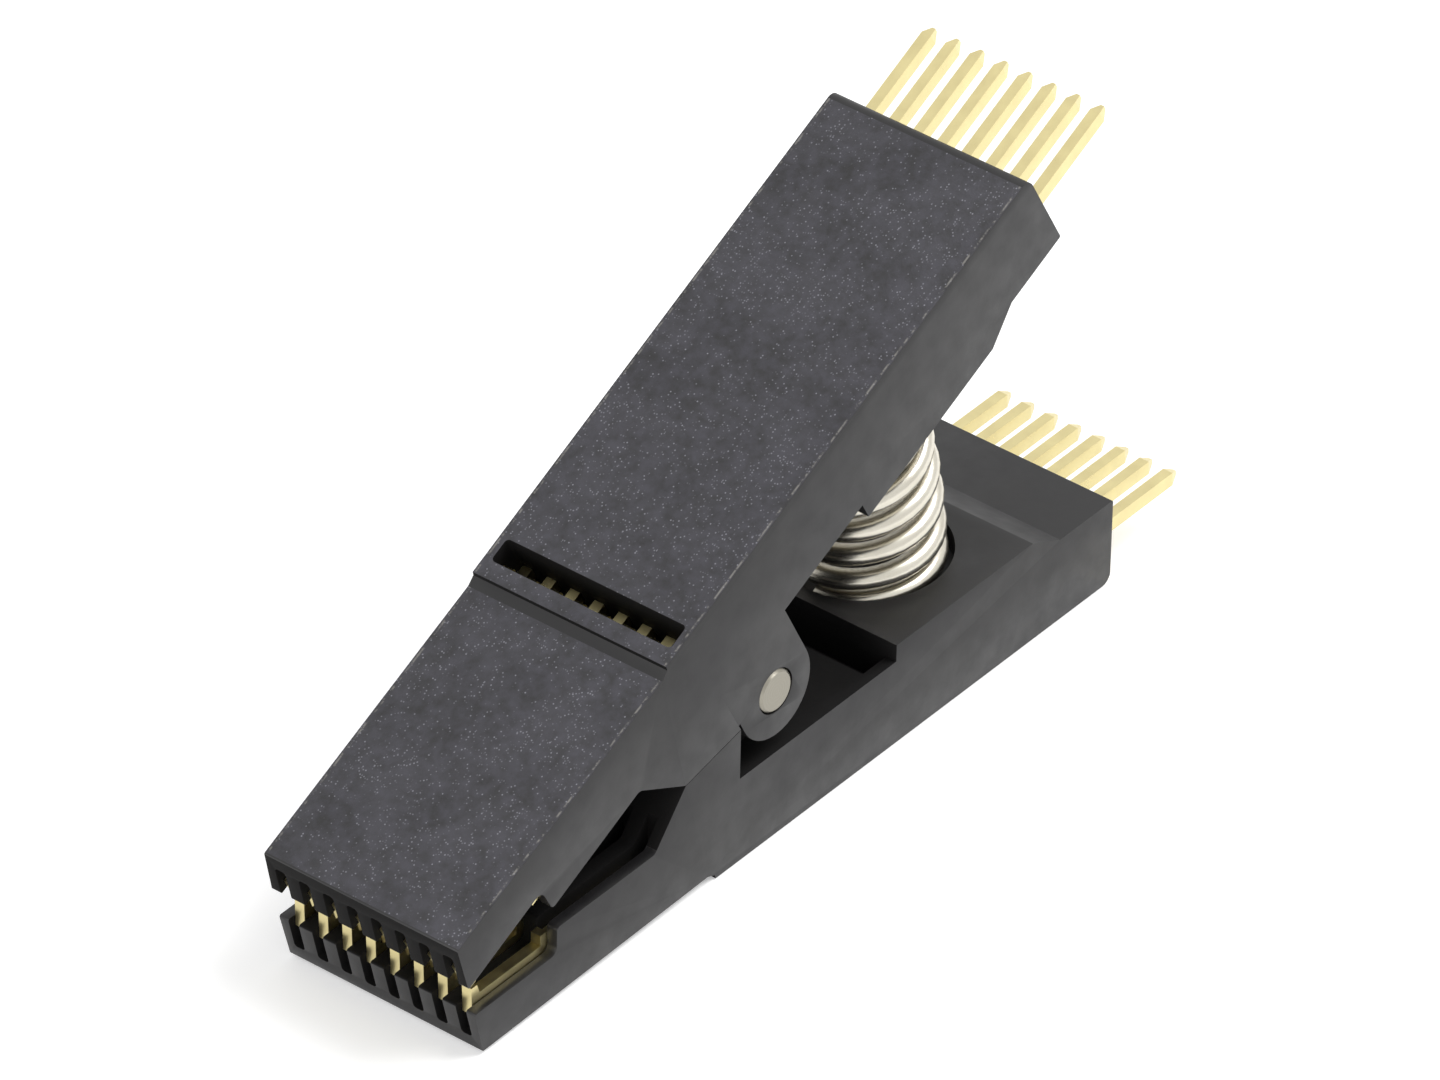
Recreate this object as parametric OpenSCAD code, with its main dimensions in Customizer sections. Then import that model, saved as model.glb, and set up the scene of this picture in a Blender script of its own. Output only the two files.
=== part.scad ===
// Test clip for a 16-lead small-outline chip: two sprung jaws on a hinge pin,
// each with a row of eight flat contacts that end in posts at the rear.
//
// A jaw is drawn lying on its outer face. s runs along it from the nose to the
// rear, h is the height above the outer face, and X runs across its width.
// The lower jaw stays as drawn, with the hinge pin above the origin. The upper
// jaw is the same drawing turned over about the plane where the two jaws meet.

/* [Jaws] */
// Width of both jaws at their outer faces
jaw_w = 10.25; // [10.15:0.05:12]
// Slope of the jaws' sides, which widen towards the inner face
side_draft = 2.25; // [0.5:0.25:3]
// Length of a jaw along its outer face
jaw_len = 40.6; // [38:0.1:46]
// Angle between a jaw's outer face and the meeting plane
jaw_angle = 12.75; // [12:0.25:14]
// Thickness of the handle at the spring
handle_h = 5.2; // [4.95:0.05:5.6]
// Thickness of the block at the rear end
rear_h = 4.3; // [3.6:0.05:4.8]
// Length of the rear block's flat top
rear_block_len = 3.55; // [2:0.05:4.5]
// Length of the ramp from the handle to the rear block
rear_ramp = 1.85; // [1:0.05:2.2]
// Rounding of the rear outer edge
rear_round = 0.5; // [0.3:0.1:1.5]
// Gap left between the two jaws' stop faces when they are closed
stop_gap = 0.03; // [0.02:0.01:0.1]

/* [Nose] */
// Distance from the front to the step in the outer face
step_s = 14.7; // [13.8:0.1:15]
// Depth of the step
step_h = 0.38; // [0.2:0.02:0.5]
// Depth of the step's steep edge
step_edge = 0.2; // [0.1:0.02:0.3]
// Length of the slope from the steep edge to the nose's outer face
step_run = 0.5; // [0.2:0.05:0.8]
// How far the nose's outer face lies below the handle's at the front edge
nose_drop = 0.13; // [0:0.01:0.25]
// Thickness of the lip beside the contact tips
lip_h = 2.35; // [2.1:0.05:2.6]
// Length of the lip
lip_len = 4.6; // [3.8:0.1:5.2]
// Thickness of the nose behind the lip
waist_h = 3.7; // [3.4:0.05:4.1]
// Distance from the front to the end of the waist
waist_end = 10.75; // [9:0.05:11.4]
// Distance from the front to the stop face
stop_s = 12.65; // [12:0.05:13.5]
// Rounding of the corners along the jaw's inner edge
inner_round = 0.4; // [0.1:0.05:0.6]

/* [Contacts] */
// Number of contacts in each row
contact_n = 8; // [4:1:8]
// Pitch of the contacts
pitch = 1.27; // [1.2:0.01:1.27]
// Thickness of the contact sheet
blade_t = 0.5; // [0.3:0.02:0.56]
// Height of the post and of the strip that leads to it
post_h = 0.64; // [0.4:0.02:0.7]
// Height of the middle of the post above the outer face
post_mid = 2.35; // [2.2:0.05:2.5]
// Length of the post behind the jaw
post_len = 5.2; // [3:0.1:9]
// Length of the post's tapered end
post_taper = 0.45; // [0.2:0.05:0.8]
// Clearance round a contact, in its slot and its channel
contact_fit = 0.03; // [0.02:0.01:0.06]
// Distance from the contact's tip to the nose's front face
tip_setback = 0.5; // [0.3:0.05:0.8]
// Length of the contact's tip along the jaw
tip_len = 0.5; // [0.3:0.05:0.7]
// Gap between a tip and the meeting plane
tip_gap = 0.06; // [0.04:0.01:0.2]
// Height of the tip's lower corner above the outer face
tip_low = 1.85; // [1.6:0.05:2]
// Height of the top of the sprung beam above the outer face
beam_top = 2.73; // [2.6:0.01:2.85]
// Thickness of the sprung beam
beam_t = 0.5; // [0.35:0.05:0.6]
// Distance from the front to the finger at the beam's root
finger_s = 4.2; // [3.9:0.1:4.6]
// Width of the finger
finger_w = 0.4; // [0.3:0.05:0.6]
// Height of the finger above the outer face
finger_h = 3.25; // [3:0.05:3.35]
// Length of the contact's wide plate behind the finger
plate_len = 7; // [5:0.1:7.4]
// Height of the top of the plate above the outer face
plate_top = 2.95; // [2.8:0.05:3.2]
// Height of the slots' floor above the outer face
slot_floor = 0.8; // [0.7:0.05:1]
// Rounding of the slots' floor, on both sides
slot_round = 0.16; // [0.05:0.01:0.2]

/* [Window and slot] */
// Distance from the front to the window in the outer face
window_s = 15.5; // [15.3:0.05:15.9]
// Length of the window along the jaw
window_len = 1.15; // [0.9:0.05:1.4]
// Wall left beside the window
window_wall = 0.38; // [0.3:0.01:0.39]
// Rounding of the window's corners
window_round = 0.2; // [0.1:0.05:0.3]
// Height of the window's floor above the outer face
window_floor = 3; // [2.85:0.05:3.4]
// Length of the contact's tab in the window
tab_len = 0.4; // [0.3:0.05:0.6]
// Depth of the tab's end below the outer face
tab_depth = 0.6; // [0.35:0.05:0.9]
// Length of the slot across the inner face, behind the hinge
slot_len = 1.5; // [1:0.1:1.8]
// Height of that slot's floor above the outer face
slot_h = 2.95; // [2.85:0.05:3.4]

/* [Hinge] */
// Distance from the front to the hinge pin
pin_s = 18.5; // [18.2:0.1:19]
// Height of the hinge pin above the outer face
pin_h = 7.45; // [7.3:0.05:7.7]
// Diameter of the hinge pin
pin_d = 2; // [1.5:0.1:2.4]
// Distance that the pin's ends stand out from the ears
pin_proud = 0.05; // [0.02:0.01:0.08]
// Chamfer round the pin's ends
pin_chamfer = 0.12; // [0.05:0.01:0.3]
// Radial clearance of the pin in the upper jaw's ears, where it turns
pin_run = 0.05; // [0.02:0.01:0.1]
// Radial clearance of the pin in the lower jaw's lugs, where it is held
pin_hold = 0.02; // [0.01:0.01:0.04]
// Radius of the ears and lugs
ear_r = 2.2; // [1.8:0.05:2.3]
// Thickness of the upper jaw's ears
ear_t = 1.5; // [1.2:0.05:1.8]
// Thickness of the lower jaw's lugs
lug_t = 1.6; // [1.2:0.05:1.9]
// Side gap between an ear and its lug
lug_gap = 0.1; // [0.05:0.01:0.2]
// Gap between an ear and the wall in front of it
ear_gap = 0.15; // [0.1:0.01:0.3]
// Height of the floor under the ears above the outer face
hinge_h = 4.35; // [4.1:0.05:4.6]
// Distance from the front to the end of that floor
hinge_end = 26.25; // [25.6:0.05:26.6]

/* [Spring] */
// Distance from the front to the middle of the spring
spring_s = 30.7; // [30.5:0.05:31]
// Outside diameter of the spring
spring_d = 7; // [6:0.1:7.2]
// Diameter of the spring wire
wire_d = 1; // [0.7:0.05:1.05]
// Number of turns between the closed end turns
spring_turns = 5.75; // [4:0.25:6]
// Diameter of the pockets that hold the spring
pocket_d = 7.5; // [7.4:0.05:7.8]
// Height of the pocket's floor above the outer face
pocket_floor = 4.1; // [3.9:0.05:4.4]
// Gap between the spring's ends and the pocket floors
spring_fit = 0.04; // [0.02:0.01:0.08]

/* [Hidden] */
$fn = 96;

// Steps in a rounded corner of an outline
arc_steps = 6;
// Overlap that lets a cut pass its face, or one solid run into another
eps = 0.5;

// Width of a slot or channel for a contact
slot_w = blade_t + 2 * contact_fit;
// Heights of the strip's lower and upper edges
strip_low = post_mid - post_h / 2;
strip_high = post_mid + post_h / 2;
// Half the width of the window, and of the slot behind the hinge
window_x = jaw_w / 2 - window_wall;
// Where the plate and its slot end, and where the plate starts
plate_end = finger_s + finger_w + plate_len;
slot_end = plate_end + contact_fit;
// Wall of the hinge's floor in front of the ears
hinge_front = pin_s - ear_r - ear_gap;
// Length of the contact from its front face's foot to the post's end
post_end = jaw_len + post_len;
// Place of the jaw's side at height h
function side_x(h) = jaw_w / 2 + h * tan(side_draft);
// Outer side of the ears, which stand square on the sloping sides; their inner
// side; and the outer side of the lugs
ear_out = side_x(hinge_h);
ear_x = ear_out - ear_t;
lug_x = ear_x - lug_gap;
// Height of a contact's foot, above the rounding of the slot's floor
foot_h = slot_floor + slot_round + contact_fit;

// Height of the meeting plane above the outer face, at distance s
function meet_h(s) = pin_h - (pin_s - s) * tan(jaw_angle);
// The same, less a gap measured square to the plane
function below_meet(s, gap) = meet_h(s) - gap / cos(jaw_angle);
// Distance s of the nose's front face at height h: it is square to the plane
function front_s(h) = -(h - nose_drop) * tan(jaw_angle);
// Place across the jaw of contact i, from 1
function contact_x(i) = (i - (contact_n + 1) / 2) * pitch;

function unit(v) = v / norm(v);
// Arc of radius r that replaces the corner b between a and c
function corner(a, b, c, r) =
    let (u = unit(a - b), v = unit(c - b),
         half = acos(u * v) / 2,
         m = b + unit(u + v) * r / sin(half),
         p = b + u * r / tan(half) - m,
         q = b + v * r / tan(half) - m,
         a0 = atan2(p.y, p.x),
         turn = atan2(p.x * q.y - p.y * q.x, p * q))
    [for (i = [0 : arc_steps])
        m + r * [cos(a0 + turn * i / arc_steps), sin(a0 + turn * i / arc_steps)]];
// Outline through [s, h, r] points, with a corner of radius r at each
function outline(pts) =
    let (n = len(pts), p = [for (q = pts) [q.x, q.y]])
    [for (i = [0 : n - 1])
        each pts[i].z > 0
            ? corner(p[(i + n - 1) % n], p[i], p[(i + 1) % n], pts[i].z)
            : [p[i]]];

// Slab of width w across X, centred at x, with its outline in s and h
module slab(w, pts, x = 0) {
    translate([x - w / 2, 0, 0])
        rotate([90, 0, 90])
            linear_extrude(w) polygon(pts);
}

// Box across X, centred at x, between two places in s and two in h
module block(w, s0, s1, h0, h1, x = 0) {
    translate([x - w / 2, s0, h0]) cube([w, s1 - s0, h1 - h0]);
}

// Bar along X at the hinge pin's axis, centred at x
module rod(r, w, x = 0) {
    translate([x - w / 2, pin_s, pin_h])
        rotate([0, 90, 0]) cylinder(r = r, h = w);
}

// Places a drawing of the lower jaw, or of what it carries
module lower() {
    translate([0, -pin_s, 0]) children();
}

// Turns a drawing over about the meeting plane, for the upper jaw
module upper() {
    translate([0, 0, pin_h])
        rotate([2 * jaw_angle, 0, 0])
            mirror([0, 0, 1])
                translate([0, -pin_s, -pin_h]) children();
}

// Side outline that the two jaws share
jaw_side = outline([
    [0, nose_drop, 0.1],
    [step_s - step_run, step_h, 0],
    [step_s - step_edge / 5, step_edge, 0],
    [step_s, 0, 0],
    [jaw_len, 0, rear_round],
    [jaw_len, rear_h, 0.1],
    [jaw_len - rear_block_len, rear_h, 0.2],
    [jaw_len - rear_block_len - rear_ramp, handle_h, 0.2],
    [hinge_end, handle_h, 0],
    [hinge_end, hinge_h, 0],
    [hinge_front, hinge_h, 0],
    [hinge_front, below_meet(hinge_front, stop_gap / 2), 0],
    [stop_s, below_meet(stop_s, stop_gap / 2), 0.1],
    [waist_end, waist_h, inner_round],
    [lip_len, waist_h, inner_round / 2],
    [lip_len, lip_h, inner_round],
    [front_s(lip_h), lip_h, 0.1]]);

// Bar along the jaw with the section pts, in x and h, between two places in s
module bar(pts, s0, s1) {
    translate([0, s1, 0]) rotate([90, 0, 0]) linear_extrude(s1 - s0) polygon(pts);
}

// Slots in the nose and channels to the rear, one for each contact
module contact_cuts() {
    slot = outline([
        [-slot_w / 2, slot_floor, slot_round], [slot_w / 2, slot_floor, slot_round],
        [slot_w / 2, pin_h, 0], [-slot_w / 2, pin_h, 0]]);
    for (i = [1 : contact_n]) {
        translate([contact_x(i), 0, 0]) bar(slot, front_s(lip_h) - eps, slot_end);
        block(slot_w, slot_end - eps, jaw_len + eps,
            strip_low - contact_fit, strip_high + contact_fit, contact_x(i));
    }
}

// One ear or lug, from the hinge floor to round the pin
module ear(w, x) {
    block(w, pin_s - ear_r, pin_s + ear_r, hinge_h - eps, pin_h, x);
    block(w, hinge_front - eps, pin_s, hinge_h - eps,
        below_meet(hinge_front, ear_gap), x);
    rod(ear_r, w, x);
}

// Window through the outer face
module window_cut() {
    s1 = window_s + window_len;
    translate([0, 0, -eps]) linear_extrude(window_floor + eps) polygon(outline([
        [-window_x, window_s, window_round], [window_x, window_s, window_round],
        [window_x, s1, window_round], [-window_x, s1, window_round]]));
}

// Body of a jaw, with ears of width w on both sides and a bore for the pin
module jaw(w, x, bore_r) {
    top = pin_h + ear_r + eps;
    difference() {
        intersection() {
            union() {
                slab(2 * side_x(top), jaw_side);
                for (side = [-1, 1]) ear(w, side * x);
            }
            bar([[-side_x(-eps), -eps], [side_x(-eps), -eps], [side_x(top), top], [-side_x(top), top]],
                front_s(lip_h) - eps, jaw_len + eps);
        }
        contact_cuts();
        window_cut();
        block(2 * window_x, hinge_end - slot_len, hinge_end, slot_h, pin_h);
        translate([0, spring_s, pocket_floor]) cylinder(d = pocket_d, h = pin_h);
        rod(bore_r, 2 * side_x(top));
    }
}

// Side outline of a contact
beam_low = beam_top - beam_t;
tip_s = front_s(beam_top) + tip_setback;
contact_side = concat(
    [[tip_s, tip_low],
     [tip_s, below_meet(tip_s, tip_gap)],
     [tip_s + tip_len * 0.7, below_meet(tip_s, tip_gap)],
     [tip_s + tip_len, beam_top],
     [finger_s, beam_top],
     [finger_s, finger_h],
     [finger_s + finger_w, finger_h],
     [finger_s + finger_w, plate_top],
     [plate_end, plate_top],
     [plate_end, strip_high],
     [post_end - post_taper, strip_high],
     [post_end, post_mid + post_h / 6],
     [post_end, post_mid - post_h / 6],
     [post_end - post_taper, strip_low],
     [window_s + contact_fit + tab_len, strip_low],
     [window_s + contact_fit + tab_len, tab_depth + tab_len],
     [window_s + contact_fit + tab_len / 4, tab_depth],
     [window_s + contact_fit, tab_depth],
     [window_s + contact_fit, strip_low],
     [plate_end, strip_low],
     [plate_end, foot_h],
     [finger_s - finger_w, foot_h]],
    // arch under the beam, from the plate's foot up to the beam
    [for (a = [0 : 15 : 90])
        [finger_s - finger_w - (finger_s - finger_w - tip_s - 2 * tip_len) * sin(a),
         foot_h + 0.2 + (beam_low - foot_h - 0.2) * (1 - cos(a))]],
    [[tip_s + tip_len, tip_low]]);

// One contact, with a post that tapers in its thickness too
module contact(i) {
    color("#d9c27a")
    intersection() {
        slab(blade_t, contact_side, contact_x(i));
        translate([contact_x(i), 0, 0])
            linear_extrude(pin_h) polygon([
                [-blade_t / 2, tip_s - eps], [blade_t / 2, tip_s - eps],
                [blade_t / 2, post_end - post_taper], [blade_t / 6, post_end],
                [-blade_t / 6, post_end], [-blade_t / 2, post_end - post_taper]]);
    }
}

module lower_jaw() {
    color("#3a393c") lower() jaw(lug_t, lug_x - lug_t / 2, pin_d / 2 + pin_hold);
}

module upper_jaw() {
    color("#3a393c") upper() jaw(ear_t, ear_x + ear_t / 2, pin_d / 2 + pin_run);
}

module hinge_pin() {
    pin_w = 2 * (ear_out + pin_proud);
    color("#b9b4a8")
    translate([-pin_w / 2, 0, pin_h])
        rotate([0, 90, 0])
            rotate_extrude() polygon([
                [0, 0], [pin_d / 2 - pin_chamfer, 0], [pin_d / 2, pin_chamfer],
                [pin_d / 2, pin_w - pin_chamfer], [pin_d / 2 - pin_chamfer, pin_w], [0, pin_w]]);
}

// The pocket floors meet in a line ahead of the hinge, and the spring's turns
// fan about it. fold_s is that line's place and fan_r its distance to the turns.
fold_s = pin_s - (pin_h - pocket_floor) / tan(jaw_angle);
fan_r = spring_s - fold_s;
coil_r = (spring_d - wire_d) / 2;
// Turn angle of the wire's middle where it lies on a pocket floor
fan_end = jaw_angle - asin((wire_d / 2 + spring_fit) / (fan_r - coil_r));
// Angle that a closed end turn rises by, and all the turns
fan_closed = asin(wire_d * 1.04 / (fan_r - coil_r));
all_turns = spring_turns + 2;
ring_steps = 24;
wire_sides = 8;

// Fan angle of the wire after t turns, from the lower floor to the upper
function fan_angle(t) =
    t < 1 ? -fan_end + fan_closed * t
    : t > all_turns - 1 ? fan_end - fan_closed * (all_turns - t)
    : -fan_end + fan_closed + (2 * fan_end - 2 * fan_closed) * (t - 1) / spring_turns;
// Point on the wire's surface after t turns, at angle a round the wire
function wire_point(t, a) =
    let (r = coil_r + wire_d / 2 * cos(a),
         out = fan_r - r * cos(360 * t),
         f = fan_angle(t) + jaw_angle,
         lift = wire_d / 2 * sin(a))
    [r * sin(360 * t),
     fold_s + out * cos(f) - lift * sin(f),
     pocket_floor + out * sin(f) + lift * cos(f)];

module spring() {
    rings = floor(all_turns * ring_steps);
    pts = [for (i = [0 : rings], k = [0 : wire_sides - 1])
        wire_point(i / ring_steps, -360 * k / wire_sides)];
    sides = [for (i = [0 : rings - 1], k = [0 : wire_sides - 1])
        let (a = i * wire_sides + k, b = i * wire_sides + (k + 1) % wire_sides)
        [a, b, b + wire_sides, a + wire_sides]];
    start = [for (k = [wire_sides - 1 : -1 : 0]) k];
    end = [for (k = [0 : wire_sides - 1]) rings * wire_sides + k];
    color("#c9c6bd") lower() polyhedron(pts, concat(sides, [start], [end]), convexity = 10);
}

lower_jaw();
upper_jaw();
hinge_pin();
spring();
lower() contact(1);  // lower_contact_1
lower() contact(2);  // lower_contact_2
lower() contact(3);  // lower_contact_3
lower() contact(4);  // lower_contact_4
lower() contact(5);  // lower_contact_5
lower() contact(6);  // lower_contact_6
lower() contact(7);  // lower_contact_7
lower() contact(8);  // lower_contact_8
upper() contact(1);  // upper_contact_1
upper() contact(2);  // upper_contact_2
upper() contact(3);  // upper_contact_3
upper() contact(4);  // upper_contact_4
upper() contact(5);  // upper_contact_5
upper() contact(6);  // upper_contact_6
upper() contact(7);  // upper_contact_7
upper() contact(8);  // upper_contact_8
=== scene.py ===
# %% [markdown]
# # A sprung test clip for a small-outline chip
#
# The clip is pushed down over a chip so that sixteen contacts touch its leads.
# Two black jaws turn on a steel pin, a coil spring between the handles shuts
# the mouth, and each contact runs from the nose to a post at the rear, where a
# wire is plugged on.
#
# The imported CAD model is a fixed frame: it says where every solid is. Blender
# adds what a solid can't show, which is the finish, the softened edges of the
# mouldings and the round wire of the spring.

# %% Load the frame
import bpy
import bmesh
import math
from mathutils import Matrix, Vector


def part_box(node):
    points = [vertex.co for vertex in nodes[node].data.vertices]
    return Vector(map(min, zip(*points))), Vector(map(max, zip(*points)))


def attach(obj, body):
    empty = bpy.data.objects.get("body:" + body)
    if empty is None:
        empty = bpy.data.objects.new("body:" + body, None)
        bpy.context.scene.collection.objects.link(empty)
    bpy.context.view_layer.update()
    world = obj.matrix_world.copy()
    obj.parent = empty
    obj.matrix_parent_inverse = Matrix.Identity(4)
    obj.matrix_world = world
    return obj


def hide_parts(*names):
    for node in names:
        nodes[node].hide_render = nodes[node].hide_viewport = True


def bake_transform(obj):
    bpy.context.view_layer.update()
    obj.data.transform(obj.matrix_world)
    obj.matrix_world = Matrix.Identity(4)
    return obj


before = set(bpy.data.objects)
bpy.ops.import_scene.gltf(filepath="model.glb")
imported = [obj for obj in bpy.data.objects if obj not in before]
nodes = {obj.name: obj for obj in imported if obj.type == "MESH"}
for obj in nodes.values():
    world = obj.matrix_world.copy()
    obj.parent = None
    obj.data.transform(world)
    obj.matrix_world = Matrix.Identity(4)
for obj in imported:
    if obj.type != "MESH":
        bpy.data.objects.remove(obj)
scene = bpy.context.scene
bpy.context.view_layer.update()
print("CAD nodes:", len(nodes))

# %% [markdown]
# ## Units and colours
#
# Blender works in metres and this clip is 46 mm long, so sizes are written in
# millimetres and multiplied by MM. Colours are picked as sRGB hex values, as
# in a paint program, and a shader works in linear light, so one function
# turns the first into the second.

# %% Millimetres and colours
MM = 0.001


def linear(hex_colour):
    """The linear RGBA that a shader socket takes, from an sRGB hex value."""
    parts = [int(hex_colour[i:i + 2], 16) / 255 for i in (1, 3, 5)]
    return [c / 12.92 if c <= 0.04045 else ((c + 0.055) / 1.055) ** 2.4 for c in parts] + [1]


# %% [markdown]
# ## The camera
#
# A long lens keeps the jaws' edges almost parallel, as a product shot does. It
# stands in front of the mouth, to the right and above, and leans by a degree.
# A camera looks along its own -Z, so to_track_quat turns that axis towards the
# clip, and the lean is a turn about the line of sight.

# %% Place the camera
azimuth, elevation, lean = math.radians(40.22), math.radians(36.80), math.radians(-0.96)
look_at = Vector((0.618, 2.172, 11.683)) * MM
towards_camera = Vector((math.sin(azimuth) * math.cos(elevation),
                         -math.cos(azimuth) * math.cos(elevation),
                         math.sin(elevation)))
camera = bpy.data.objects.new("camera", bpy.data.cameras.new("camera"))
scene.collection.objects.link(camera)
camera.location = look_at + towards_camera * 628.1 * MM
camera.rotation_mode = "QUATERNION"
camera.rotation_quaternion = ((-towards_camera).to_track_quat("-Z", "Y")
                              @ Matrix.Rotation(lean, 3, "Z").to_quaternion())
camera.data.sensor_width = 36
camera.data.lens = 384.8
camera.data.clip_start, camera.data.clip_end = 0.05, 5
scene.camera = camera
print("Camera at", [round(c / MM, 1) for c in camera.location], "mm")

# %% [markdown]
# ## Nodes by one helper
#
# A material is a small graph. This helper adds one node, sets its settings
# and links its inputs, so that each material below reads as a list of what it
# is made of. An input can be a number, a colour or another node's output.


# %% The helper for nodes
def add_node(tree, kind, inputs=None, **settings):
    """Adds a node. inputs maps a socket's name or index to a value or to an output to link."""
    node = tree.nodes.new(kind)
    for key, value in settings.items():
        setattr(node, key, value)
    for key, value in (inputs or {}).items():
        if isinstance(value, bpy.types.NodeSocket):
            tree.links.new(value, node.inputs[key])
        else:
            node.inputs[key].default_value = value
    return node


def new_material(name, **sockets):
    """A material with its Principled BSDF set. Returns the material, its tree and the shader."""
    material = bpy.data.materials.new(name)
    material.use_nodes = True
    shader = material.node_tree.nodes["Principled BSDF"]
    for key, value in sockets.items():
        shader.inputs[key.replace("_", " ")].default_value = value
    return material, material.node_tree, shader


# %% [markdown]
# ## The studio
#
# The clip lies on a white table in even, soft light. Black plastic shows
# mostly what it mirrors, and bright metal shows nothing else, so the world is
# white all round, with one large lamp above, behind and to the right, and a
# smaller one in front. Neither stands where the long flat tops would mirror it.
# The room and the table are pure white to the camera and to mirror rays, so
# that metal shows the same white. Only the plainer light reaches the rest, and
# the clip's shadow stays on the table.

# %% World
world = bpy.data.worlds.new("white room")
scene.world = world
world.use_nodes = True
sky = world.node_tree
sky.nodes.clear()
ROOM_LIGHT = 0.55


def seen_or_mirrored(tree):
    """One for rays from the camera, direct, by a mirror or through glass, and zero for the rest."""
    rays = add_node(tree, "ShaderNodeLightPath").outputs
    either = add_node(tree, "ShaderNodeMath", {0: rays["Is Camera Ray"], 1: rays["Is Glossy Ray"]},
                      operation="MAXIMUM")
    return add_node(tree, "ShaderNodeMath", {0: either.outputs[0], 1: rays["Is Transmission Ray"]},
                    operation="MAXIMUM").outputs[0]


room = add_node(sky, "ShaderNodeBackground", {"Color": (1, 1, 1, 1), "Strength": ROOM_LIGHT})
white = add_node(sky, "ShaderNodeBackground", {"Color": (1, 1, 1, 1), "Strength": 1.0})
seen = add_node(sky, "ShaderNodeMixShader",
                {0: seen_or_mirrored(sky), 1: room.outputs[0], 2: white.outputs[0]})
add_node(sky, "ShaderNodeOutputWorld", {"Surface": seen.outputs[0]})
print("Room light:", ROOM_LIGHT)


# %% Lamps
def soft_lamp(name, place, size, watts):
    """A square lamp at a place in millimetres that faces the clip."""
    data = bpy.data.lights.new(name, "AREA")
    data.size, data.energy = size * MM, watts
    lamp = bpy.data.objects.new(name, data)
    lamp.location = Vector(place) * MM
    lamp.rotation_mode = "QUATERNION"
    lamp.rotation_quaternion = (look_at - lamp.location).to_track_quat("-Z", "Y")
    scene.collection.objects.link(lamp)
    print(name, "at", place, "mm,", watts, "W")


soft_lamp("top lamp", (190, 190, 400), 260, 1.5)
soft_lamp("front lamp", (60, -400, 120), 200, 0.8)

# %% Table
# 0.05 mm under the clip, because two faces in one plane flicker
TABLE_DROP = 0.05 * MM
TABLE_HALF = 1.5
table_bm = bmesh.new()
bmesh.ops.create_grid(table_bm, x_segments=1, y_segments=1, size=TABLE_HALF,
                      matrix=Matrix.Translation((0, 0, -TABLE_DROP)))
table_mesh = bpy.data.meshes.new("table")
table_bm.to_mesh(table_mesh)
table_bm.free()
table = bpy.data.objects.new("table", table_mesh)
scene.collection.objects.link(table)

card, tree, shader = new_material("white card, matt", Base_Color=linear("#f4f4f4"), Roughness=0.9)
glow = add_node(tree, "ShaderNodeMath", {0: seen_or_mirrored(tree), 1: 0.35}, operation="MULTIPLY")
shader.inputs["Emission Color"].default_value = (1, 1, 1, 1)
tree.links.new(glow.outputs[0], shader.inputs["Emission Strength"])
table.data.materials.append(card)
print("Table", TABLE_HALF * 2, "m wide")

# %% [markdown]
# ## Glass-filled nylon
#
# The jaws are black nylon with short glass fibres in it. The mould's outer
# faces were spark-eroded, which leaves a fine grain, and glass near the skin
# shows as pale specks in loose patches. The sides come from ground steel and
# are smooth and satin. The inside is matt, and its colour is darkened further
# as painted shade. So there are three materials of one plastic: the grain and
# the specks belong to the outer faces only. The colour under the skin is nearly
# black, and the grey that the eye sees is the white room mirrored in a rough skin.


# %% Nylon for the smooth sides
# A ground mould leaves a satin skin, so the eye gets broad soft gradients and no grain.
smooth_nylon, tree, shader = new_material("glass-filled nylon, ground mould", Roughness=0.46, IOR=1.5)
place = add_node(tree, "ShaderNodeTexCoord").outputs["Object"]
# flow marks drift over about 4 mm
flow = add_node(tree, "ShaderNodeTexNoise", {"Vector": place, "Scale": 1 / (4 * MM), "Detail": 3})
flow = add_node(tree, "ShaderNodeMapRange", {"Value": flow.outputs["Fac"], "From Min": 0.3, "From Max": 0.7})
tone = add_node(tree, "ShaderNodeMix", {0: flow.outputs[0], 6: linear("#121113"), 7: linear("#191818")},
                data_type="RGBA")
tree.links.new(tone.outputs[2], shader.inputs["Base Color"])
# handling leaves a cloudier skin in places about 1 mm across
cloud = add_node(tree, "ShaderNodeTexNoise", {"Vector": place, "Scale": 1 / (1.1 * MM), "Detail": 4})
cloud = add_node(tree, "ShaderNodeMapRange", {"Value": cloud.outputs["Fac"], "From Min": 0.3, "From Max": 0.7,
                                              "To Min": 0.40, "To Max": 0.52})
tree.links.new(cloud.outputs[0], shader.inputs["Roughness"])
# a skin uneven by a micron or so, over 0.3 mm
skin = add_node(tree, "ShaderNodeTexNoise", {"Vector": place, "Scale": 1 / (0.3 * MM), "Detail": 2})
skin = add_node(tree, "ShaderNodeBump", {"Height": skin.outputs["Fac"], "Strength": 0.15,
                                         "Distance": 0.02 * MM})
tree.links.new(skin.outputs[0], shader.inputs["Normal"])
print(smooth_nylon.name, "has", len(tree.nodes), "nodes")

# %% Nylon for the grained outer faces: mottling
# A spark-eroded mould leaves a matt grain, and the eye reads it as dark grey rather than black.
grained_nylon, tree, shader = new_material("glass-filled nylon, spark-eroded mould", Roughness=0.55, IOR=1.56)
place = add_node(tree, "ShaderNodeTexCoord").outputs["Object"]
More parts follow.
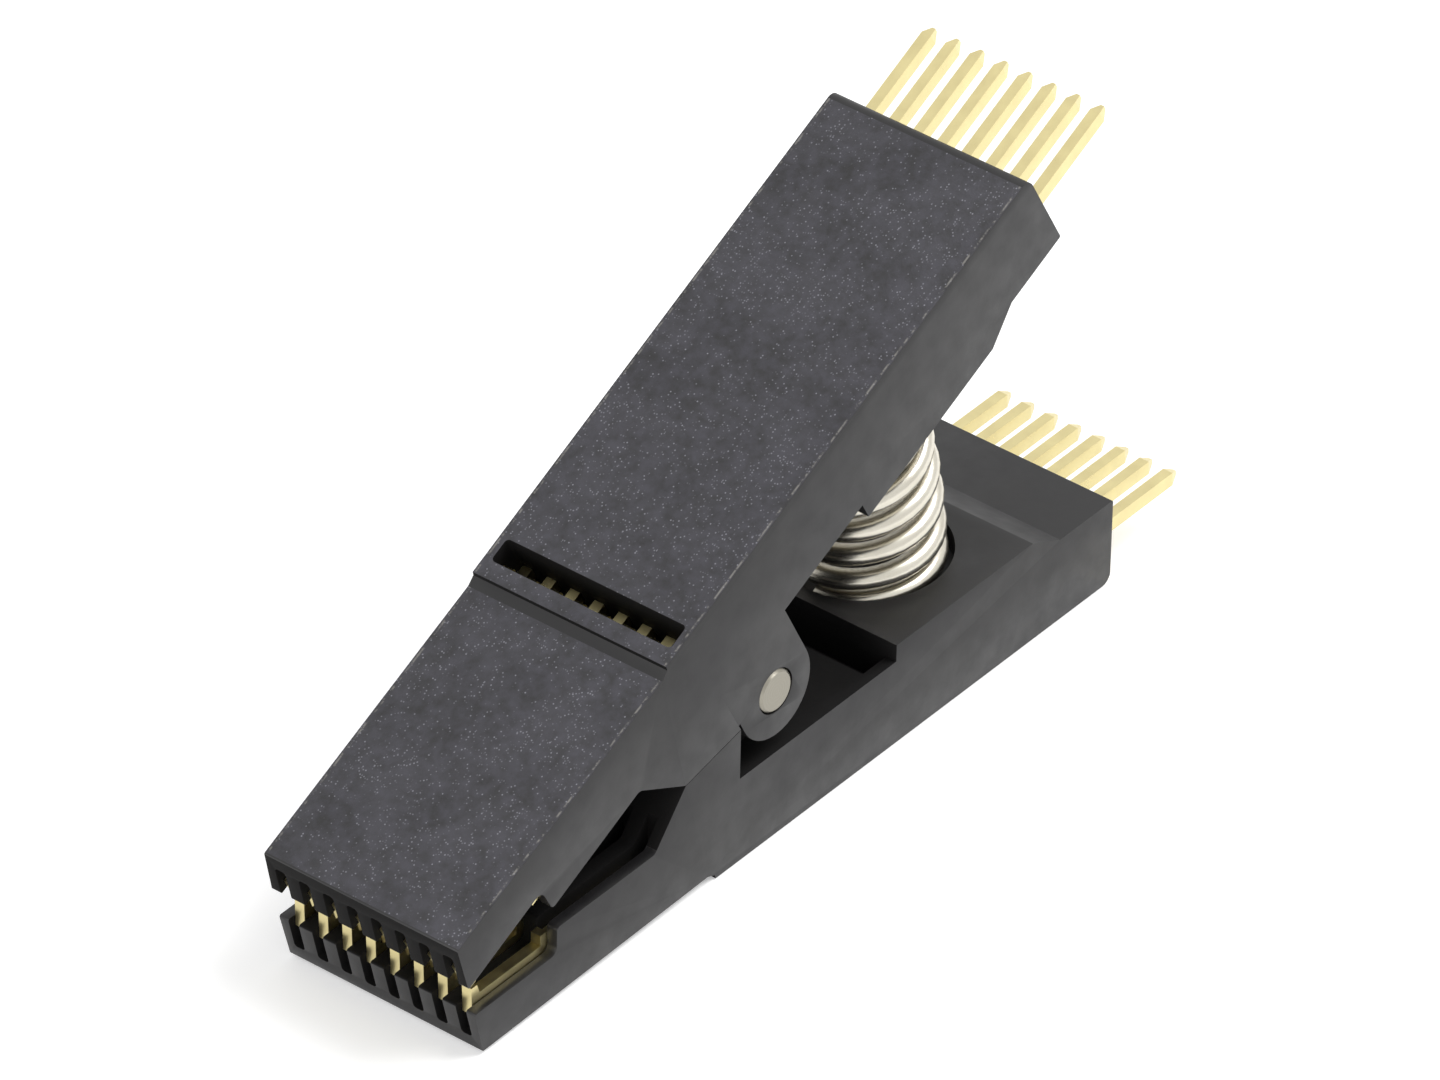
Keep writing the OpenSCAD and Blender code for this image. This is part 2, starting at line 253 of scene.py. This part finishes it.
# resin pools and glass-rich spots mottle the skin over 0.6 mm, cool grey against a warmer one
mottle = add_node(tree, "ShaderNodeTexNoise", {"Vector": place, "Scale": 1 / (0.6 * MM), "Detail": 5,
                                               "Roughness": 0.65})
mottle = add_node(tree, "ShaderNodeMapRange", {"Value": mottle.outputs["Fac"], "From Min": 0.34,
                                               "From Max": 0.66})
tone = add_node(tree, "ShaderNodeMix", {0: mottle.outputs[0], 6: linear("#151416"), 7: linear("#302f36")},
                data_type="RGBA")
# patches over 2.4 mm where the glass came nearer to the skin: denser specks, a glossier skin, and a paler
# colour that is painted sheen
glass_and_sheen_patch = add_node(tree, "ShaderNodeTexNoise", {"Vector": place, "Scale": 1 / (2.4 * MM), "Detail": 3})
glass_and_sheen_patch = add_node(tree, "ShaderNodeMapRange", {"Value": glass_and_sheen_patch.outputs["Fac"], "From Min": 0.36,
                                              "From Max": 0.66})
painted_sheen = add_node(tree, "ShaderNodeMapRange", {"Value": glass_and_sheen_patch.outputs[0], "To Max": 0.3})
# painted sheen: the patches are painted paler
tone = add_node(tree, "ShaderNodeMix", {0: painted_sheen.outputs[0], 6: tone.outputs[2], 7: linear("#46454c")},
                data_type="RGBA")
gloss = add_node(tree, "ShaderNodeMapRange", {"Value": glass_and_sheen_patch.outputs[0], "To Min": 0.57, "To Max": 0.5})
tree.links.new(gloss.outputs[0], shader.inputs["Roughness"])

# %% Specks of glass
# Cells of 0.11 mm, and only some of them hold a speck. A fibre end is 0.01 mm across, so
# the specks are drawn coarser to show.
cells = add_node(tree, "ShaderNodeTexVoronoi", {"Vector": place, "Scale": 1 / (0.11 * MM)})
dot = add_node(tree, "ShaderNodeMapRange", {"Value": cells.outputs["Distance"], "From Min": 0.2,
                                            "From Max": 0.42, "To Min": 1, "To Max": 0})
pick = add_node(tree, "ShaderNodeSeparateColor", {0: cells.outputs["Color"]})
empty = add_node(tree, "ShaderNodeMapRange", {"Value": glass_and_sheen_patch.outputs[0], "To Min": 0.9, "To Max": 0.6})
chosen = add_node(tree, "ShaderNodeMath", {0: pick.outputs[0], 1: empty.outputs[0]}, operation="GREATER_THAN")
speck = add_node(tree, "ShaderNodeMath", {0: dot.outputs[0], 1: chosen.outputs[0]}, operation="MULTIPLY")
glint = add_node(tree, "ShaderNodeMapRange", {"Value": pick.outputs[1], "To Min": 0.1, "To Max": 0.75})
bright = add_node(tree, "ShaderNodeMath", {0: speck.outputs[0], 1: glint.outputs[0]}, operation="MULTIPLY")
tone = add_node(tree, "ShaderNodeMix", {0: bright.outputs[0], 6: tone.outputs[2], 7: linear("#8b8b93")},
                data_type="RGBA")

# %% The painted edge highlight and the grain
# A painted highlight: a fine pale line 0.1 mm inside each long edge, where the rounded
# edge catches the light, broken up by noise.
EDGE_HIGHLIGHT_OUT = 5.02 * MM
sideways = add_node(tree, "ShaderNodeSeparateXYZ", {0: place})
off_edge_highlight = add_node(tree, "ShaderNodeMath", {0: sideways.outputs[0]}, operation="ABSOLUTE")
off_edge_highlight = add_node(tree, "ShaderNodeMath", {0: off_edge_highlight.outputs[0], 1: EDGE_HIGHLIGHT_OUT}, operation="SUBTRACT")
off_edge_highlight = add_node(tree, "ShaderNodeMath", {0: off_edge_highlight.outputs[0]}, operation="ABSOLUTE")
edge_highlight_band = add_node(tree, "ShaderNodeMapRange", {"Value": off_edge_highlight.outputs[0], "From Min": 0.02 * MM,
                                             "From Max": 0.06 * MM, "To Min": 1, "To Max": 0})
edge_highlight_gaps = add_node(tree, "ShaderNodeTexNoise", {"Vector": place, "Scale": 1 / (0.5 * MM), "Detail": 4,
                                               "Roughness": 0.7})
edge_highlight_gaps = add_node(tree, "ShaderNodeMapRange", {"Value": edge_highlight_gaps.outputs["Fac"], "From Min": 0.47,
                                               "From Max": 0.58, "To Max": 0.55})
painted_edge_highlight = add_node(tree, "ShaderNodeMath", {0: edge_highlight_band.outputs[0], 1: edge_highlight_gaps.outputs[0]}, operation="MULTIPLY")
# the pale colour of the painted edge highlight
tone = add_node(tree, "ShaderNodeMix", {0: painted_edge_highlight.outputs[0], 6: tone.outputs[2], 7: linear("#8f8c86")},
                data_type="RGBA")
tree.links.new(tone.outputs[2], shader.inputs["Base Color"])
# the eroded grain, 0.13 mm across
grain = add_node(tree, "ShaderNodeTexNoise", {"Vector": place, "Scale": 1 / (0.13 * MM), "Detail": 3,
                                              "Roughness": 0.6})
grain = add_node(tree, "ShaderNodeBump", {"Height": grain.outputs["Fac"], "Strength": 0.75,
                                          "Distance": 0.035 * MM})
tree.links.new(grain.outputs[0], shader.inputs["Normal"])
print(grained_nylon.name, "has", len(tree.nodes), "nodes")

# %% Nylon for the inner faces, darkened as painted shade
# A matt skin mirrors little. Its colour is set darker and its skin duller than bare nylon would
# measure, as painted shade, so that the mouth and the slots read as black.
shaded_matt_nylon, tree, shader = new_material("glass-filled nylon, inner faces, painted shade", Roughness=0.8, IOR=1.45,
                                        Specular_IOR_Level=0.2)
place = add_node(tree, "ShaderNodeTexCoord").outputs["Object"]
flow = add_node(tree, "ShaderNodeTexNoise", {"Vector": place, "Scale": 1 / (1.5 * MM), "Detail": 3})
flow = add_node(tree, "ShaderNodeMapRange", {"Value": flow.outputs["Fac"], "From Min": 0.3, "From Max": 0.7})
# painted shade: colours far darker than this nylon's own, for the mouth and the slots
tone = add_node(tree, "ShaderNodeMix", {0: flow.outputs[0], 6: linear("#070606"), 7: linear("#0c0b0b")},
                data_type="RGBA")
tree.links.new(tone.outputs[2], shader.inputs["Base Color"])
skin = add_node(tree, "ShaderNodeTexNoise", {"Vector": place, "Scale": 1 / (0.2 * MM), "Detail": 3})
skin = add_node(tree, "ShaderNodeBump", {"Height": skin.outputs["Fac"], "Strength": 0.3,
                                         "Distance": 0.02 * MM})
tree.links.new(skin.outputs[0], shader.inputs["Normal"])
print(shaded_matt_nylon.name, "has", len(tree.nodes), "nodes")

# %% [markdown]
# ## The jaws
#
# The CAD solid has knife edges. A moulding never does, and an edge with a
# small radius catches a line of light that says how big the part is. So each
# jaw is a copy of its CAD mesh: its loose triangles are merged, flat
# regions become single faces, and the outward edges are bevelled by
# 0.08 mm. Then each face takes one of the three nylons by where it is and the
# way it points.

# %% A softened copy of a CAD node
def softened(node, radius, sharpest=math.radians(25)):
    """A bmesh of a CAD node with its outward edges bevelled."""
    bm = bmesh.new()
    bm.from_mesh(nodes[node].data)
    bmesh.ops.remove_doubles(bm, verts=bm.verts, dist=1e-4 * MM)
    bmesh.ops.dissolve_limit(bm, angle_limit=math.radians(0.6), verts=bm.verts, edges=bm.edges)
    keen = [e for e in bm.edges if e.is_manifold and e.is_convex and e.calc_face_angle() > sharpest]
    bmesh.ops.bevel(bm, geom=keen, offset=radius, segments=2, profile=0.5, affect="EDGES",
                    material=-1, clamp_overlap=True, loop_slide=True)
    return bm


def finished(bm, name, *materials):
    """The piece made from a bmesh, smooth across its gentle edges."""
    mesh = bpy.data.meshes.new(name)
    for edge in bm.edges:
        edge.smooth = len(edge.link_faces) == 2 and edge.calc_face_angle() < math.radians(32)
    for face in bm.faces:
        face.smooth = True
    bm.to_mesh(mesh)
    bm.free()
    piece = bpy.data.objects.new(name, mesh)
    scene.collection.objects.link(piece)
    for material in materials:
        mesh.materials.append(material)
    print(name, "has", len(mesh.polygons), "faces")
    return piece


# %% Both jaws
EDGE_RADIUS = 0.08 * MM
half_angle = math.radians(12.75)     # from each outer face to the plane where the jaws meet
BROAD = 5 * MM * MM                  # a grained outer face is larger than this
INSIDE_HALF = 4.95 * MM              # nearer the middle than this, a face is not a side
# the inside takes the nylon darkened as painted shade
POCKET_FRONT = 8 * MM                # the matt inside ends ahead of the spring
NOSE, NOSE_DEPTH = -18.5 * MM, 0.6 * MM
SMOOTH, GRAINED, SHADED_MATT = 0, 1, 2

outward_of = {"lower": Vector((0, 0, -1)),
              "upper": Vector((0, -math.sin(2 * half_angle), math.cos(2 * half_angle)))}
for body, outward in outward_of.items():
    bm = softened(body + "_jaw", EDGE_RADIUS)
    for face in bm.faces:
        facing, middle = face.normal.dot(outward), face.calc_center_median()
        inside = abs(middle.x) < INSIDE_HALF and middle.y < POCKET_FRONT and facing < 0.5
        at_nose = face.normal.y < -0.9 and abs(middle.y - NOSE) < NOSE_DEPTH
        if facing > 0.995 and face.calc_area() > BROAD:
            face.material_index = GRAINED
        else:
            # the inside, away from the nose, takes the nylon darkened as painted shade
            face.material_index = SHADED_MATT if inside and not at_nose else SMOOTH
    jaw = finished(bm, body + "_jaw_moulding", smooth_nylon, grained_nylon, shaded_matt_nylon)
    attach(jaw, body)
    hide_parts(body + "_jaw")

# %% [markdown]
# ## The contacts
#
# They are stamped from phosphor bronze and plated with a thin, pale gold.
# The plating is satin, its tone and gloss varying in soft clouds. Their CAD
# solids have the right shape, so they stay and take this material.

# %% Pale gold plating
gold, tree, shader = new_material("gold plating on stamped bronze", Metallic=1.0, Roughness=0.3)
place = add_node(tree, "ShaderNodeTexCoord").outputs["Object"]
cloud = add_node(tree, "ShaderNodeTexNoise", {"Vector": place, "Scale": 1 / (0.8 * MM), "Detail": 3})
plate = add_node(tree, "ShaderNodeMix", {0: cloud.outputs["Fac"], 6: linear("#d3c592"), 7: linear("#eadda6")},
                 data_type="RGBA")
tree.links.new(plate.outputs[2], shader.inputs["Base Color"])
satin = add_node(tree, "ShaderNodeMapRange", {"Value": cloud.outputs["Fac"], "To Min": 0.22, "To Max": 0.4})
tree.links.new(satin.outputs[0], shader.inputs["Roughness"])
contacts = [node for name, node in nodes.items() if "_contact_" in name]
for node in contacts:
    node.data.materials.clear()
    node.data.materials.append(gold)
print("Plated contacts:", len(contacts))

# %% [markdown]
# ## The hinge pin
#
# A plain steel pin, cut and faced on a lathe. Facing leaves fine rings round
# its axis, so the bump is a wave texture in rings about X.

# %% Faced steel
steel, tree, shader = new_material("faced steel", Metallic=1.0, Roughness=0.34, Base_Color=linear("#949085"))
place = add_node(tree, "ShaderNodeTexCoord").outputs["Object"]
low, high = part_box("hinge_pin")
centred = add_node(tree, "ShaderNodeMapping", {"Vector": place, "Location": -(low + high) / 2})
rings = add_node(tree, "ShaderNodeTexWave", {"Vector": centred.outputs[0], "Scale": 1 / (0.5 * MM)},
                 wave_type="RINGS", rings_direction="X")
rings = add_node(tree, "ShaderNodeBump", {"Height": rings.outputs["Fac"], "Strength": 0.25,
                                          "Distance": 0.01 * MM})
tree.links.new(rings.outputs[0], shader.inputs["Normal"])
nodes["hinge_pin"].data.materials.clear()
nodes["hinge_pin"].data.materials.append(steel)
print("Pin", round((high - low).x / MM, 2), "mm long")

# %% [markdown]
# ## The spring
#
# A compression spring of 1 mm wire, with closed end turns that lie flat
# in their pockets. It stands between two floors that meet at an angle, so its
# turns fan out like the pages of an open book. A circle is spun into a
# straight spring first, with a low pitch for the end turns and a higher one
# between. Then every point turns about the line where the two floors meet, by
# an angle that grows with its height.

# %% Bright drawn wire
wire_steel, tree, shader = new_material("drawn spring steel, nickel-plated", Metallic=1.0, Roughness=0.27)
place = add_node(tree, "ShaderNodeTexCoord").outputs["Object"]
cloud = add_node(tree, "ShaderNodeTexNoise", {"Vector": place, "Scale": 1 / (1.5 * MM), "Detail": 3})
metal = add_node(tree, "ShaderNodeMix", {0: cloud.outputs["Fac"], 6: linear("#c6c0b2"), 7: linear("#dcd8cc")},
                 data_type="RGBA")
tree.links.new(metal.outputs[2], shader.inputs["Base Color"])
print(wire_steel.name, "has", len(tree.nodes), "nodes")

# %% The straight spring
WIRE_R, COIL_R = 0.5 * MM, 3 * MM
PIN_HEIGHT, POCKET_FLOOR, SPRING_Y = 7.45 * MM, 4.1 * MM, 12.2 * MM
CLEARANCE = 0.05 * MM                # at each floor
END_RISE, MIDDLE_TURNS, STEPS = 1.17 * MM, 5.75, 36
fold_y = -(PIN_HEIGHT - POCKET_FLOOR) / math.tan(half_angle)
fan_r = SPRING_Y - fold_y
height = fan_r * 2 * half_angle - 2 * WIRE_R - 2 * CLEARANCE

bm = bmesh.new()
start = (Matrix.Translation((0, -COIL_R, WIRE_R + CLEARANCE)) @ Matrix.Rotation(math.pi / 2, 4, "Y"))
bmesh.ops.create_circle(bm, segments=16, radius=WIRE_R, matrix=start)
loop = bm.verts[:] + bm.edges[:]
for turns, rise in ((1, END_RISE), (MIDDLE_TURNS, height - 2 * END_RISE), (1, END_RISE)):
    count = round(turns * STEPS)
    spun = bmesh.ops.spin(bm, geom=loop, cent=(0, 0, 0), axis=(0, 0, 1), dvec=(0, 0, rise / count),
                          angle=turns * 2 * math.pi, steps=count, use_merge=False)
    loop = spun["geom_last"]
bmesh.ops.holes_fill(bm, edges=[e for e in bm.edges if e.is_boundary], sides=0)
bmesh.ops.recalc_face_normals(bm, faces=bm.faces)
print("Straight spring", round(height / MM, 2), "mm along its wire's middle")

# %% Fan it between the two floors
fold = Vector((0, fold_y, POCKET_FLOOR))
for v in bm.verts:
    turn = Matrix.Rotation(v.co.z / fan_r, 3, "X")
    v.co = turn @ Vector((v.co.x, fan_r + v.co.y, 0)) + fold
spring = finished(bm, "spring_wire", wire_steel)
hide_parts("spring")
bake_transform(spring)

# %% [markdown]
# ## Finish
#
# Standard view transform, so that a colour comes out as it is written.

# %% The view transform and the end
scene.view_settings.view_transform = "Standard"
